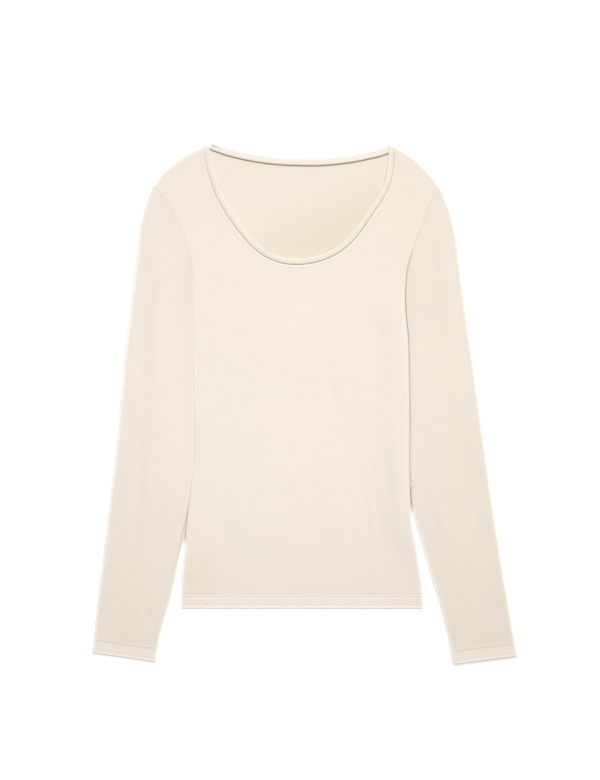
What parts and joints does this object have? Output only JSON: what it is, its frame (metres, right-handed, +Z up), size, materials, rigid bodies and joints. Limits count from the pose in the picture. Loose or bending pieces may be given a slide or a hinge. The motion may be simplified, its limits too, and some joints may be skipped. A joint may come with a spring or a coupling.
{
  "type": "long-sleeved thermal base layer top",
  "caption": "Long-sleeved scoop-neck thermal top in fine cream jersey, laid flat with its front up, with a bound neck and turned-up hem and cuffs.",
  "frame": {"origin": "on the surface that the top lies on, under the middle of its outline", "axes": "+Z up, out of the front of the top; +Y from the hem to the neck; +X to the right of someone who looks down on the front"},
  "size_m": [0.5532, 0.6784, 0.0064],
  "materials": {
    "jersey": "matt",
    "jersey_inside": "matt",
    "binding": "matt"
  },
  "bodies": {
    "root": {"back_panel": "jersey_inside", "front_panel": "jersey", "sleeve_left": "jersey", "sleeve_right": "jersey", "neck_binding": "binding"}
  },
  "joints": []
}
